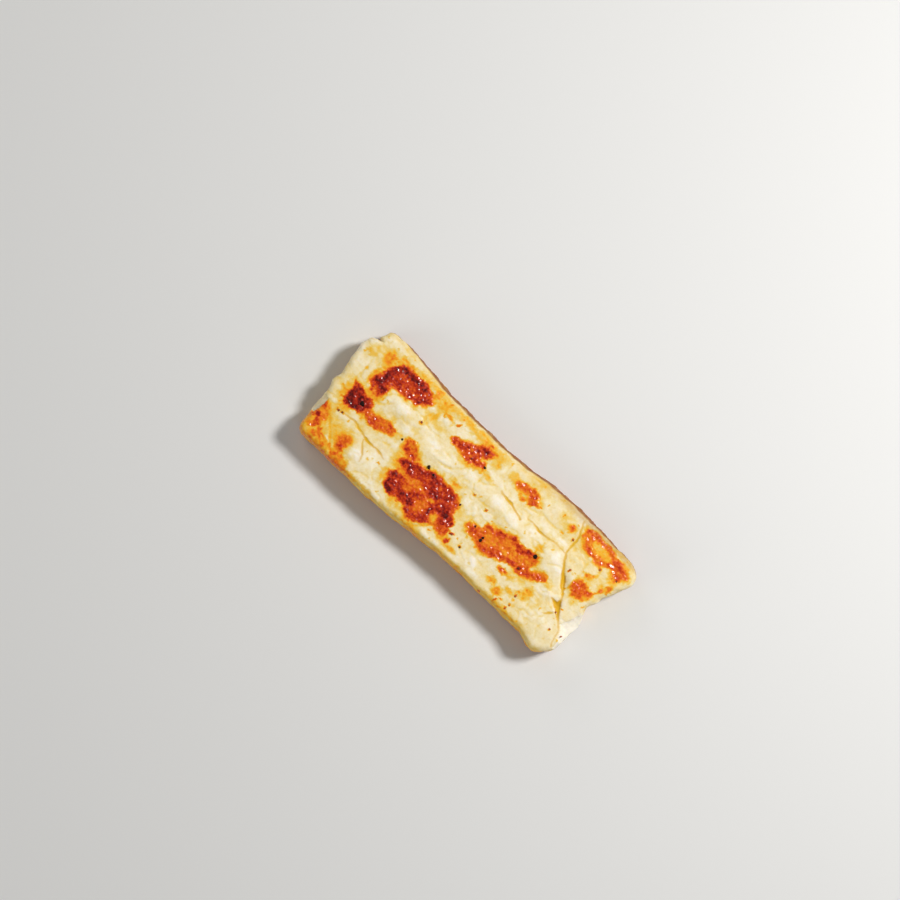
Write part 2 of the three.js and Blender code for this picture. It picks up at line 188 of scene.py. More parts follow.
# How far the cheese has browned, from 0, white, through gold, orange and red to 1, near black.
# Each patch is an outline of points round it and how brown it is.
BROWNED = {
    "hook": (0.78, [
        (-41.3, 14), (-38.5, 14.6), (-34, 14.9), (-30.5, 14.6), (-28.3, 13.2), (-26.4, 11.7), (-28.4, 10.1),
        (-30, 8.2), (-33, 8), (-37, 7.4), (-39.4, 7.8), (-38.7, 5.3), (-39.6, 3), (-41.2, 2), (-43.4, 2.3),
        (-44.7, 4), (-44.6, 6.6), (-43.6, 9.2), (-43.4, 11.2),
    ]),
    "left_block": (0.88, [
        (-47.8, 0.8), (-46.6, 0.3), (-45.5, 0.8), (-43, 0), (-41, 0.1), (-39.2, -1.6), (-38.9, -3),
        (-40.6, -5.1), (-43, -5.9), (-45.5, -6.3), (-47.3, -4.9), (-47.1, -1.5),
    ]),
    "left_bar": (0.63, [
        (-39.6, -2.8), (-36.5, -2.5), (-33.5, -1.7), (-31.2, -0.9), (-29.5, -1.6), (-29.4, -3.3),
        (-31.8, -4.5), (-34.6, -5.2), (-36.5, -5.6), (-39.2, -4.2),
    ]),
    "corner_left": (0.48, [
        (-50.6, -10.6), (-49.6, -10), (-48.2, -10.4), (-47.8, -12), (-46.7, -14), (-46.9, -16.6),
        (-47.8, -17.9), (-49.6, -17.4), (-51.2, -16), (-50.8, -13),
    ]),
    "corner_low": (0.33, [
        (-46.6, -17.4), (-45, -16.4), (-43.2, -17.4), (-41.6, -19.1), (-40, -20.2), (-41, -21.8),
        (-45, -21.4), (-47.2, -19.8),
    ]),
    "corner_right": (0.42, [
        (-38.2, -19.2), (-36, -18.4), (-33.4, -19), (-32, -20.2), (-32.6, -22), (-38.6, -22),
    ]),
    "left_spot": (0.57, [
        (-37.6, -12.2), (-36.7, -13.4), (-36.3, -15.4), (-36.8, -17), (-38.2, -17.5), (-39.5, -16.2),
        (-39.6, -14.6), (-38.6, -13),
    ]),
    "neck": (0.6, [
        (-24.6, -1), (-24, -0.2), (-22.2, 0.1), (-20.4, -0.9), (-18.3, -3.2), (-19.2, -4.2), (-21.5, -4.6),
        (-24.2, -3.6),
    ]),
    "great": (0.79, [
        (-22.3, -6.6), (-21, -5.2), (-17.5, -4), (-14, -3.5), (-12, -2.5), (-9.5, -2.1), (-8, -2.6),
        (-4, -2.4), (-1, -3.3), (0.1, -4.6), (0.4, -6.5), (1.6, -8.2), (3, -10), (2.2, -11.1), (3, -12.6),
        (2.5, -14), (0.6, -14.3), (-1.2, -12.6), (-3, -14), (-5, -16.3), (-8, -17.6), (-11, -16.9),
        (-12.2, -15.4), (-16, -15.9), (-18, -16.6), (-20.2, -15.8), (-22, -11.6), (-20.6, -10), (-18.2, -9.6),
        (-17, -9), (-18.2, -8.1), (-20.2, -7.8), (-22.2, -7.6),
    ]),
    "lobed": (0.7, [
        (-15.4, 8.6), (-14.9, 9.8), (-12.5, 10.6), (-9.2, 11.5), (-8, 12.9), (-6.3, 14.3), (-4.2, 13.9),
        (-2.3, 14.1), (-3.4, 12.1), (-5.8, 10.2), (-3, 9.8), (-2.1, 9.1), (-2.7, 8.3), (-5.3, 7.9),
        (-7.8, 6.7), (-11.5, 7.7), (-14.5, 7.7),
    ]),
    "bent": (0.6, [
        (7.4, 13), (8.8, 13.7), (10.9, 14.8), (11.9, 14.2), (13.6, 15), (15.1, 14.4), (15.3, 13), (17, 12.3),
        (17.2, 11.6), (15.8, 10.9), (14.6, 10.2), (13.8, 11.5), (12.5, 12.8), (11, 12.5), (9.1, 11.7),
        (7.6, 12.2),
    ]),
    "long": (0.6, [
        (5.8, -6.5), (6.8, -5.4), (9.5, -4.6), (10.2, -2.5), (13, -1.4), (15.6, -0.8), (18.2, 0.6),
        (19.6, 0.7), (21, 0), (23.5, 0.8), (26, 1.5), (27.7, 0.8), (28.6, -1), (27.8, -2.6), (28, -4.2),
        (25, -6), (22, -6.2), (20, -7.6), (16, -9.4), (14, -9.8), (12.2, -9.5), (11.2, -8.5), (7, -7.8),
    ]),
    "long_tail": (0.64, [
        (25, -6), (27.5, -4.3), (30, -3), (32, -1.5), (33.4, -1.3), (34.3, -2.4), (33, -3.6), (30.5, -4.9),
        (28, -6.6), (26, -6.6),
    ]),
    "ring": (0.6, [
        (32.6, 17.3), (33.8, 18.1), (39, 18.1), (42, 17.8), (47, 17.2), (49.2, 16.4), (51.2, 14.6),
        (50, 12.8), (48.4, 12), (46.8, 12.9), (45.2, 13.4), (43, 12.3), (38.5, 12.4), (35.3, 13.2),
        (33.2, 15.6),
    ]),
    "right_patch": (0.62, [
        (40.2, 3.2), (40.8, 5.2), (43.5, 5.4), (44.9, 4.4), (47.3, 5.5), (46.6, 3.8), (45.1, 2), (44.8, 0.7),
        (42.3, 0.3), (40.9, 1.4),
    ]),
}

# Spots painted one after another, over the patches too: x, y, long, across, turn in degrees, how brown,
# how much of it.
GOLDEN = [
    (-50.2, 12, 3.2, 2, 10, 0.26, 0.8), (-50.9, 10.2, 2, 1, 8, 0.38, 0.9),
    (-45.3, 12.6, 2.4, 3.2, 20, 0.41, 0.95), (-45.4, 5.6, 1.2, 3.4, 0, 0.44, 0.9),
    (-40, 15.6, 4.2, 0.9, -4, 0.38, 0.8), (-42.4, 14.2, 2.2, 1.1, 0, 0.35, 0.9),
    (-32, 15.9, 6.5, 1, 0, 0.33, 0.8), (-41.5, 1.1, 3.2, 1.2, 0, 0.4, 0.9),
    (-44.8, -7.2, 2.8, 1.2, 0, 0.37, 0.9), (-48.6, -2.5, 1.3, 3.4, 0, 0.36, 0.8),
    (-42.2, -14.2, 3.2, 3.4, 0, 0.34, 0.9), (-38.2, -15, 3.4, 4, 0, 0.36, 0.85),
    (-42.6, -19.2, 9, 2, 0, 0.33, 0.7), (-47.4, -13.2, 3.6, 4.4, 0, 0.36, 0.85),
    (-43.6, -20.6, 8.6, 2.4, 0, 0.34, 0.9), (-51, -18, 1.6, 4, 0, 0.42, 0.8),
    (-35.5, -2.8, 5.6, 2.6, 10, 0.28, 0.7), (-27.6, -2.2, 2.4, 1.8, 20, 0.3, 0.8),
    (-27.2, 14.2, 1.4, 2.4, 0, 0.42, 0.9), (-23.6, 13.8, 2.6, 2, 20, 0.38, 0.8),
    (-20.4, 12.6, 2.6, 0.8, -6, 0.42, 0.8), (-23.7, 9.8, 1, 2.4, 5, 0.38, 0.8),
    (-24.6, 8.4, 2, 2.6, 0, 0.28, 0.7), (-15.5, 15.4, 7, 1.4, 0, 0.32, 0.8),
    (-2.2, 15, 4.6, 1.6, 0, 0.34, 0.8), (-0.3, 12.6, 1.8, 2, 0, 0.34, 0.8), (-8.6, 5.9, 3, 1.2, 0, 0.3, 0.6),
    (-0.6, 8, 2.4, 1.2, 0, 0.25, 0.7), (-5.2, -0.4, 2.7, 1.3, -12, 0.36, 0.95),
    (-20.5, -8.7, 3.4, 1.2, 0, 0.42, 0.9), (-23.4, -6.6, 1.6, 2.6, 0, 0.33, 0.8),
    (-22.8, -13.6, 1.5, 3.2, 0, 0.32, 0.8), (-14, -17.2, 5.5, 1.2, 0, 0.35, 0.8),
    (-7.5, -18.6, 4.6, 1.1, 0, 0.33, 0.8), (1.8, -6.2, 2.2, 2.6, 0, 0.26, 0.7),
    (3, -14.3, 3.4, 1.6, 0, 0.36, 0.8), (7.2, -15.4, 2.8, 0.9, 12, 0.38, 0.95),
    (5.6, 13.2, 1.8, 1.6, 0, 0.34, 0.8), (11.6, 10.6, 1.8, 0.9, 8, 0.42, 0.9),
    (16.2, 12.8, 2.2, 1.8, 0, 0.3, 0.7), (27, 15, 4.2, 2.2, 0, 0.22, 0.7),
    (26.4, 3.5, 1.5, 1.5, 0, 0.36, 0.8), (22.2, -13.2, 1.8, 1.4, 15, 0.42, 0.95),
    (25.8, -14.4, 2.1, 1.5, 0, 0.42, 0.95), (28.4, -12.2, 1.9, 1, -15, 0.36, 0.9),
    (32.6, -8.8, 2, 2.4, 0, 0.36, 1), (30.6, -10.6, 1.4, 1, 0, 0.37, 0.9), (27, -7.2, 3.2, 1.6, 0, 0.3, 0.7),
    (35.2, -2.8, 1.8, 1.4, 0, 0.34, 0.8), (26, -9.2, 1.8, 1, 0, 0.36, 0.8),
    (48.2, 12.2, 3.2, 2.4, -30, 0.32, 0.8), (47.8, 7.4, 2, 1.4, 0, 0.33, 0.8),
    (43.4, 8.9, 1.3, 0.6, 40, 0.4, 0.9), (42.6, 6.4, 2.6, 1.4, 0, 0.3, 0.7),
    (44.4, -1.4, 1.5, 1.6, 0, 0.27, 0.8), (30, -17.2, 9, 1, 0, 0.3, 0.8), (8, -18.2, 12, 0.9, 0, 0.26, 0.7),
    (36.8, 9, 4.5, 4, 0, 0.17, 0.6), (46, -14, 5, 4, 0, 0.15, 0.5), (-8, -19.3, 9, 0.8, -6, 0.3, 0.8),
    (-25, -20.4, 8, 0.7, -3, 0.28, 0.7), (-30.4, -20.6, 3.6, 1.3, 0, 0.31, 0.9),
    (-10, 15.2, 5, 1.6, 0, 0.31, 0.85), (-20.6, 8.3, 2.6, 1.3, 0, 0.26, 0.8),
    (0.6, 7.7, 2.4, 1, -10, 0.29, 0.8), (-36.6, -8.2, 2.4, 0.8, -8, 0.24, 0.6),
]
DABS = [
    # The hook
    (-38.2, 13.3, 3.4, 0.9, 4, 0.97, 0.9), (-33.2, 13.5, 2.6, 0.7, -6, 0.93, 0.9),
    (-41.3, 11.8, 0.9, 1.6, -25, 0.97, 0.9), (-42.4, 8.2, 1.2, 2.2, 0, 0.96, 0.9),
    (-43, 5.6, 0.9, 1.2, 0, 1, 0.9), (-40.6, 4.9, 0.9, 1.2, 0, 0.92, 0.9),
    (-42.1, 3.3, 1.3, 0.8, -35, 0.52, 0.9), (-38.6, 11.2, 1.3, 1, 0, 0.7, 0.8),
    (-36.6, 9.2, 1.4, 0.9, 0, 0.72, 0.8), (-30.4, 9.7, 1.2, 0.8, 20, 0.88, 0.9),
    (-32.6, 8.9, 1.6, 0.7, 0, 0.68, 0.7), (-40.5, 6.5, 0.7, 1, 0, 0.78, 0.8),
    (-35.8, 11, 3, 1.5, 0, 0.74, 0.85), (-28.9, 12.3, 1.2, 0.8, -20, 0.8, 0.8),
    # The block and bar below it
    (-45.6, -4.2, 1.5, 1.6, 0, 0.99, 0.9), (-45.6, -1.4, 1, 1, 0, 0.95, 0.9),
    (-43.4, -5, 1.6, 0.7, 5, 0.94, 0.9), (-43.6, -2.6, 1.2, 1.4, 0, 0.9, 0.7),
    (-41.6, -0.8, 1.2, 0.6, -10, 0.8, 0.8), (-47.4, 0.4, 0.7, 0.5, -35, 0.7, 0.9),
    (-32.2, -3, 1.7, 1, 8, 0.56, 0.8), (-30.3, -1.7, 0.7, 0.6, 0, 0.7, 0.7),
    (-36.4, -4.4, 1.2, 0.6, 0, 0.72, 0.8),
    # The low corner
    (-49.3, -10.9, 0.9, 0.8, 0, 0.66, 0.95), (-49.4, -14, 0.9, 0.8, 40, 0.86, 0.95),
    (-50.6, -15.3, 0.7, 0.6, 0, 0.72, 0.9), (-48.4, -16.3, 1.4, 1.3, 0, 0.67, 0.9),
    (-45, -17.3, 1.7, 0.7, -15, 0.61, 0.9), (-46.3, -19.1, 1, 0.8, 0, 0.62, 0.9),
    (-42, -20, 1, 0.7, -20, 0.6, 0.9), (-37.4, -19.4, 1.2, 0.7, 12, 0.65, 0.95),
    (-46.8, -14.2, 0.8, 0.6, 0, 0.55, 0.8), (-47, -16.4, 0.35, 0.3, 0, 0.84, 0.9),
    (-37.6, -13.2, 0.8, 0.7, 0, 0.56, 0.8), (-37.7, -16.4, 1, 0.7, 0, 0.72, 0.9),
    (-45.6, -8.9, 0.8, 0.4, -25, 0.86, 0.95), (-44.2, -8.8, 0.4, 0.45, 0, 0.84, 0.95),
    # The two near-white streaks here are painted highlights, a sheen and a glint.
    (-45.6, -13.7, 1.5, 0.45, -45, 0.12, 0.6), (-42.2, -17.2, 1.1, 0.4, -40, 0.05, 0.8),
    (-49, -17.6, 1.2, 0.8, 30, 0.5, 0.8), (-49.6, -16.2, 0.6, 0.9, -20, 0.4, 0.8),
    (-44.6, -18.6, 1.4, 0.5, -30, 0.7, 0.7),
    # The neck above the great patch
    (-22.2, -1.2, 1.1, 0.8, 0, 0.53, 0.8), (-23.7, -1.7, 0.5, 0.5, 0, 0.72, 0.8),
    (-22.7, -3.2, 0.8, 0.6, 0, 0.79, 0.9), (-20.4, -3.7, 0.9, 0.5, 0, 0.8, 0.9),
    # The great patch: a dark band above, another below, orange between them
    (-19, -6, 1.9, 0.8, -10, 0.92, 0.9), (-13.6, -4.6, 1.7, 0.9, 15, 0.86, 0.8),
    (-10.6, -3.4, 1.6, 0.8, 15, 0.9, 0.9), (-8.2, -6.6, 1.6, 0.9, 0, 0.86, 0.7),
    (-2.6, -8.2, 1.7, 0.9, 0, 0.92, 0.8), (-0.2, -9.4, 2, 0.7, -30, 0.94, 0.85),
    (-4.6, -5.6, 1.8, 1.2, 0, 0.78, 0.7), (-13.2, -8.9, 3.6, 1.7, 0, 0.57, 0.95),
    (-17.6, -8.8, 2, 0.6, 0, 0.52, 0.8), (-7.4, -9.2, 1.3, 0.7, 20, 0.5, 0.9),
    (-8.3, -12.6, 2.3, 2.7, 0, 0.57, 1), (-15.4, -11.5, 1.6, 1.1, 0, 0.58, 0.9),
    (-15.4, -10.6, 1.6, 0.7, 0, 0.68, 0.7), (-20.6, -11.2, 1, 1, 0, 0.9, 0.9),
    (-19.4, -13.2, 1.3, 1.2, 0, 0.89, 0.9), (-18.4, -15.3, 1.5, 0.7, 0, 0.96, 0.9),
    (-16.2, -13.8, 1.5, 0.7, 0, 0.9, 0.9), (-12.5, -13.8, 1.7, 0.9, 5, 0.93, 0.9),
    (-8.8, -15.8, 1.7, 0.7, 0, 0.84, 0.8), (-5.4, -15.3, 1.1, 0.7, 20, 0.82, 0.8),
    (-5.1, -11.8, 0.7, 1.3, 5, 0.94, 0.9), (-2.9, -12.4, 1.8, 1.2, -38, 0.36, 0.95),
    (-2.6, -13.9, 1, 0.6, 0, 0.48, 0.8), (0.1, -11.5, 0.9, 0.4, 10, 0.93, 0.9),
    (0.9, -13.1, 2, 1.3, -10, 0.61, 0.9), (4.3, -11.8, 0.7, 0.4, 12, 0.82, 0.9),
    (2.9, -11.6, 0.9, 0.3, 10, 0.62, 0.8), (4.7, -14.3, 0.9, 0.8, 30, 0.74, 0.95),
    (-1.3, -15.8, 0.6, 0.35, 15, 0.6, 0.8), (-3.4, -10.1, 0.9, 0.6, 0, 0.86, 0.8),
    (-13, -8.7, 3.2, 0.8, 0, 0.5, 0.7), (-8, -12.3, 1.7, 1.9, 0, 0.53, 0.7),
    (-14.6, -11.2, 1.1, 1.1, 0, 0.54, 0.8), (-7, -9.1, 1.5, 0.6, 20, 0.42, 0.9),
    (-20.4, -8.9, 2.2, 0.35, -14, 0.33, 0.8), (-3.2, -15.3, 2.2, 0.35, 46, 0.3, 0.85),
    (-3, -10.9, 1.4, 0.5, -30, 0.48, 0.7), (-10.6, -11.6, 0.8, 1, 0, 0.7, 0.7),
    (-10.6, -13.9, 0.7, 0.5, 0, 0.93, 0.8),
    # The lobed patch
    (-5.2, 12.9, 1.1, 0.9, -35, 0.95, 0.95), (-12.3, 9.2, 1.2, 0.7, 0, 0.78, 0.8),
    (-14.2, 8.4, 0.7, 0.4, 0, 0.76, 0.8), (-9.6, 9.6, 1.8, 1, 0, 0.74, 0.7),
    (-4.6, 9, 1.2, 0.6, 0, 0.64, 0.8), (-3.9, 11.4, 0.6, 0.4, 0, 0.9, 0.8),
    (-4.9, 15.2, 0.9, 0.5, 0, 0.62, 0.9), (-16.7, 12.9, 0.7, 0.5, 50, 0.64, 0.9),
    (-6.9, 11.4, 0.8, 0.5, 30, 0.84, 0.8),
    # The bent patch and the small spots near it
    (8.9, 12.9, 0.8, 0.5, 10, 0.69, 0.8), (14.3, 12.6, 0.8, 0.7, 0, 0.75, 0.8),
    (16, 11.4, 0.9, 0.5, 20, 0.72, 0.8), (12.9, 13.7, 0.9, 0.5, 0, 0.68, 0.7),
    (1.2, 1.3, 0.5, 0.35, 0, 0.46, 0.9), (6.8, 0.35, 0.5, 0.4, 40, 0.52, 0.9),
    (28.95, 14.5, 1.35, 1.35, 45, 0.56, 1), (12.4, 10.5, 0.9, 0.7, 20, 0.48, 0.9),
    (14.6, 10.2, 0.5, 0.4, 0, 0.46, 0.8), (18, 12.3, 0.4, 0.25, 0, 0.7, 0.8),
    # The long patch
    (20.5, -3.2, 6.6, 1.9, 12, 0.48, 0.85), (14.4, -5.6, 2.4, 1.6, 0, 0.5, 0.8),
    (12, -2.6, 1.6, 0.5, 25, 0.72, 0.8), (15.6, -1.4, 1.9, 0.5, 15, 0.74, 0.8),
    (13.6, -8.4, 1.4, 0.6, -15, 0.72, 0.8), (17, -7.8, 1.6, 0.7, 12, 0.74, 0.8),
    (20, -6.4, 1.4, 0.6, 20, 0.7, 0.7), (8.4, -6.2, 1.5, 0.9, 0, 0.72, 0.7),
    (24, -5.4, 1.4, 0.45, 0, 0.7, 0.7), (18.9, 0.1, 0.9, 0.6, 0, 0.86, 0.9),
    (21.9, -0.9, 1.4, 1, 0, 0.8, 0.9), (24.6, 0.2, 1.4, 0.6, 8, 0.77, 0.9),
    (22.5, -5.6, 0.9, 0.5, 10, 0.78, 0.9), (25.7, -5.3, 0.4, 0.4, 0, 0.86, 0.9),
    (26, 0.9, 0.9, 0.4, 0, 0.78, 0.7), (17.2, -3.6, 1.9, 1, 0, 0.53, 0.9),
    (20.4, -3.2, 1.6, 0.9, 0, 0.55, 0.8), (25.2, -2.4, 1.5, 1.4, 0, 0.5, 0.9),
    (13.2, -5.2, 1.6, 0.8, -35, 0.5, 0.9), (9, -7.2, 1.4, 0.6, 0, 0.66, 0.8),
    (14.4, -8.7, 1.3, 0.6, 0, 0.68, 0.8), (17.2, -6.6, 1.8, 0.7, 0, 0.66, 0.8),
    (11, -2.9, 0.9, 0.7, 0, 0.68, 0.8), (15.2, -2, 1.4, 0.5, 20, 0.66, 0.8),
    (28.6, -4.9, 1.4, 0.7, 15, 0.7, 0.9), (31.6, -3, 1.4, 0.7, 25, 0.66, 0.8),
    (33.1, -2, 0.9, 0.6, 25, 0.53, 0.8), (22.7, -9.1, 2.1, 0.95, 5, 0.65, 0.95),
    # The ring and the patches at the right end
    (39.9, 15.3, 4, 1.8, -3, 0.3, 0.95), (36.2, 15.2, 0.8, 1.2, 0, 0.5, 0.7),
    (34.2, 16, 0.6, 0.9, 0, 0.48, 0.7), (45.1, 14.3, 1.3, 0.5, 10, 0.78, 0.9),
    (47, 15.8, 1.8, 0.8, -10, 0.72, 0.9), (48.2, 13.3, 1.3, 0.7, 0, 0.64, 0.8),
    (49.3, 12.4, 0.4, 0.35, 0, 0.86, 0.9), (36, 17.4, 1.4, 0.4, 0, 0.58, 0.7),
    (37.4, 13, 1.2, 0.4, -5, 0.68, 0.8), (42.1, 7.6, 1.6, 0.8, 8, 0.5, 0.95),
    (49.4, 8.9, 1, 1.3, -20, 0.55, 0.95), (48, 7, 0.9, 0.8, 30, 0.54, 0.9), (42.2, 3, 1.3, 1.2, 0, 0.67, 0.7),
    (43.4, 11.3, 0.5, 0.4, 0, 0.56, 0.9), (37.1, 5.2, 0.5, 0.4, -30, 0.72, 0.95),
    (38.8, 5.4, 0.5, 0.35, 0, 0.4, 0.8), (43.5, -5, 0.35, 0.3, 0, 0.58, 0.9),
    (42.9, -6.8, 0.45, 0.35, 0, 0.78, 0.9), (44.9, -11.8, 0.4, 0.4, 0, 0.52, 0.8),
    (48.8, -11, 0.5, 0.3, 30, 0.72, 0.9), (49.4, -12.3, 0.7, 0.3, 0, 0.45, 0.8),
    (30.8, -11.8, 0.5, 0.3, 0, 0.64, 0.9), (31.2, -16.4, 0.4, 0.5, 0, 0.7, 0.9),
    (28.5, -15.5, 0.6, 0.3, 35, 0.6, 0.9), (27.2, -16.8, 0.6, 0.3, 40, 0.78, 0.9),
    (31.4, -15, 0.4, 0.4, 0, 0.5, 0.8), (30.6, -10, 0.5, 0.3, 0, 0.45, 0.8),
    (36, -17, 0.4, 0.35, 0, 0.46, 0.8), (-25.3, 5.6, 0.6, 0.4, 0, 0.5, 0.9),
    (-50, -2.6, 0.4, 0.4, 0, 0.5, 0.8), (-52.9, 9.1, 0.4, 0.4, 0, 0.42, 0.8),
    (-28.3, -12.3, 0.4, 0.35, 0, 0.3, 0.8), (31.5, 12, 0.4, 0.5, 30, 0.5, 0.8),
    (46.7, 2.8, 0.5, 0.4, 0, 0.5, 0.8), (26.3, 5.5, 0.3, 0.3, 0, 0.45, 0.8),
    (-14.1, -16.6, 0.4, 0.35, 0, 0.72, 0.9), (8.8, -13, 0.4, 0.35, 0, 0.6, 0.8),
    (6.7, -11.7, 0.4, 0.25, 0, 0.6, 0.8),
]

# Milky places and painted highlights on ridges, whiter than the rest: x, y, long, across, turn, how much of
# it.
MILKY_AND_SHEEN = [
    (-17.5, 3.9, 2.6, 1.1, 5, 0.9), (-12, 2.3, 3, 0.7, 14, 0.8), (-9.2, 1, 3, 0.6, 18, 0.7),
    (-30.6, 5.6, 3.4, 1.4, 8, 0.8), (-34, 4.2, 4, 2, 0, 0.5), (-4, 4.6, 3, 1.6, 0, 0.7),
    (8, 4.8, 3.2, 1.6, -4, 0.9), (14.4, 3.6, 3.8, 1.6, -5, 0.7), (3, 9.2, 3.2, 1.4, 0, 0.6),
    (29.6, 9.2, 2.6, 0.8, -3, 1), (31, 5, 3.4, 1.6, -30, 0.8), (34.4, 2.6, 1.4, 0.8, -15, 1),
    (36, -4, 2.2, 1.3, -20, 0.7), (43.4, -11.4, 2.6, 2.2, 0, 0.7), (44.4, -15, 3, 2, 0, 0.3),
    (-33.2, -14.4, 2.6, 2.2, -30, 0.9), (-26.8, -12, 2.6, 3, 0, 0.7), (14.8, -13.2, 2, 1.2, -20, 0.8),
    (17.4, -15.8, 2.6, 0.7, 0, 0.8), (11, -15, 3, 1.6, 0, 0.5), (49.4, -6, 1.6, 4.2, 0, 1),
    (-21, 11, 2.4, 1, 10, 0.7), (23.6, 9.2, 4, 1.2, 0, 0.5), (21, 4, 3, 1.6, 0, 0.35),
    (-46, 17.2, 3.6, 1, 0, 0.7), (-51.6, 13.8, 1.6, 0.5, -8, 0.8), (-50.6, 6, 2.4, 2.8, 0, 0.15),
    (-22, -19.4, 4, 1, 0, 0.5), (3.4, -1.6, 2.4, 3.2, 0, 0.6), (26.4, 16.4, 2.4, 0.8, 0, 0.5),
    (0.4, -17.2, 3.4, 1, -8, 0.6), (39, -13, 3, 2, 0, 0.35),
]

# The faint specks of spice all over the top, with the ranges that each one's values are drawn from.
SPECKS = {
    "count": 110, "seed": 12, "size": (0.22, 0.4), "stretch": 1.3, "turn": (0, 180), "brown": (0.35, 0.75),
    "share": (0.3, 0.7),
}

# How brown bare cheese, milky places with their painted highlights, the sides, the underside and the broken
# places are, and how far out from the middle line the browning of the long sides begins.
BARE_LEVEL, MILKY_SHEEN_LEVEL, SIDE_LEVEL, UNDER_LEVEL = 0.125, 0.03, 0.22, 0.42
BROKEN_LEVEL = {"left": 0.11, "right": 0.0}
SIDES_FROM = 14

# How the spots and patches are laid on: a golden halo round a patch, how soft the edge is,
# and how far it wanders in large and in small waves.
MILKY_SHEEN_COVER, GOLD_SHIFT = 0.85, 0.02
HALO_LEVEL, HALO_WIDTH = 0.43, 0.7
EDGE_SOFTNESS = 0.7
RAGGED, FRAYED = 0.55, 0.42

# Hollows of the top get painted shade. HOLLOW_CELLS is how many grid cells their surroundings are wide.
HOLLOW_CELLS, HOLLOW_SHADE = 7, 0.6

# The browning's colours from white cheese to char, in sRGB bytes.
ROAST_COLOURS = [
    (0.00, (252, 242, 222)),
    (0.08, (247, 231, 193)),
    (0.16, (241, 219, 161)),
    (0.26, (238, 201, 101)),
    (0.36, (244, 182, 44)),
    (0.46, (243, 148, 26)),
    (0.56, (233, 112, 20)),
    (0.66, (218, 78, 18)),
    (0.78, (186, 46, 18)),
    (0.90, (140, 25, 15)),
    (1.00, (88, 14, 10)),
]
# The cracks' mustard, partly their own colour and partly painted shade in them, and how strongly it is laid
# on.
CRACK_COLOUR_AND_SHADE, CRACK_SHADE_SHARE = (220, 168, 18), 0.95
# Dark brown of the browned foot, also laid on as painted shade on the high side and the top's high edge.
SINGE_AND_SHADE_COLOUR = (128, 62, 24)

# The flakes of pepper and spice: x, y, size, and how brown, from 0, black, to 1.
PEPPER = [
    (-41.7, -2.7, 1.7, 0), (26.8, 0.8, 1.5, 0), (11.9, -7.2, 1.25, 0), (-14.3, -2.4, 1.3, 0),
    (11.9, -6.1, 0.9, 0), (-25.8, -1.9, 0.9, 0.1), (-2.3, 9.1, 0.95, 0), (7.9, -5.3, 0.85, 0.1),
    (-25.3, 5.7, 0.8, 0.7), (8.8, -13, 0.7, 0.1), (37.1, 5.2, 1, 1), (30.9, -11.8, 0.7, 1),
    (-11.7, -3.1, 0.8, 0), (0.2, -3.8, 0.8, 0.2), (-45.5, -9, 1, 0.6), (-44.2, -8.7, 0.8, 0.5),
    (31.5, 12.1, 0.8, 0.8), (43.4, 11.3, 0.7, 0.9), (42.8, -6.8, 0.7, 0.8), (44.9, -11.7, 0.65, 1),
    (4.5, -11.9, 0.8, 0.6), (25.7, -5.3, 0.8, 0.2), (48.9, -10.9, 0.6, 0.9), (49.3, 12.3, 0.6, 0.4),
    (1.2, 1.3, 0.5, 1), (6.9, 0.4, 0.55, 1), (-33.3, 12.1, 0.6, 0.2), (-7, 8.4, 0.6, 0.2),
    (31.4, -15, 0.45, 1), (31.2, -16.5, 0.55, 1),
]

# A shard's rings from below: how wide and how high, as shares of its size, like how deep it is sunk.
SHARD_RINGS = [(0.75, -0.2), (1, 0.12), (0.55, 0.42)]
SHARD_SIDES = 6
PEPPER_SUNK = 0.1
PEPPER_SEED = 7
PEPPER_COLOURS = [(5, 3, 4), (200, 104, 58)]


def smooth(t):
    t = np.clip(t, 0, 1)
    return t * t * (3 - 2 * t)


def bell(t):
    return np.exp(-t * t)


def lerp(a, b, t):
    return a + (b - a) * t


def wave(t, phase):
    """A fixed irregular wave along an edge, between about -1 and 1."""
    long_wave = 0.5 * np.sin(0.55 * t + phase)
    return long_wave + 0.3 * np.sin(1.27 * t + 2.1 * phase) + 0.2 * np.sin(2.31 * t + 3.7 * phase)


def lobes(rows, y):
    return sum(out * bell((y - at) / spread) for at, out, spread in rows)


def turned(x, y, cx, cy, long, across, turn):
    """Distance from a spot's middle, in the spot's own half sizes."""
    a = math.radians(turn)
    dx, dy = x - cx, y - cy
    along = (dx * math.cos(a) + dy * math.sin(a)) / long
    over = (dy * math.cos(a) - dx * math.sin(a)) / across
    return np.hypot(along, over)


def cloud(points, cell, seed, octaves=3):
    """Smooth noise of about -1 to 1, with lumps about one cell wide (mm)."""
    shift = Vector((seed * 17.3, seed * 5.9, seed * 11.1))
    return np.array([noise.fractal(Vector(p) / cell + shift, 0.9, 2.1, octaves) for p in points])


def clouds(points, rows):
    """Noise of several widths added up, from rows of width, height, seed and octaves."""
    return sum(high * cloud(points, cell, seed, octaves) for cell, high, seed, octaves in rows)


def cover(x, y, spot, core, fade):
    """How much of a soft spot lies on each point: 1 in its core, and 0 past its faded edge."""
    return 1 - smooth((turned(x, y, *spot) - core) / fade)


def low_side(x):
    eased = smooth((x - LOW_SIDE["from"]) / (LOW_SIDE["to"] - LOW_SIDE["from"]))
    line = lerp(LOW_SIDE["left"], LOW_SIDE["right"], eased)
    return line - HEEL["out"] * bell((x - HEEL["at"]) / HEEL["spread"])


def high_side(x):
    from_waist = (x - HIGH_SIDE["waist_at"]) / HIGH_SIDE["waist_half"]
    return HIGH_SIDE["line"] - HIGH_SIDE["waist"] * np.exp(-(from_waist**4))


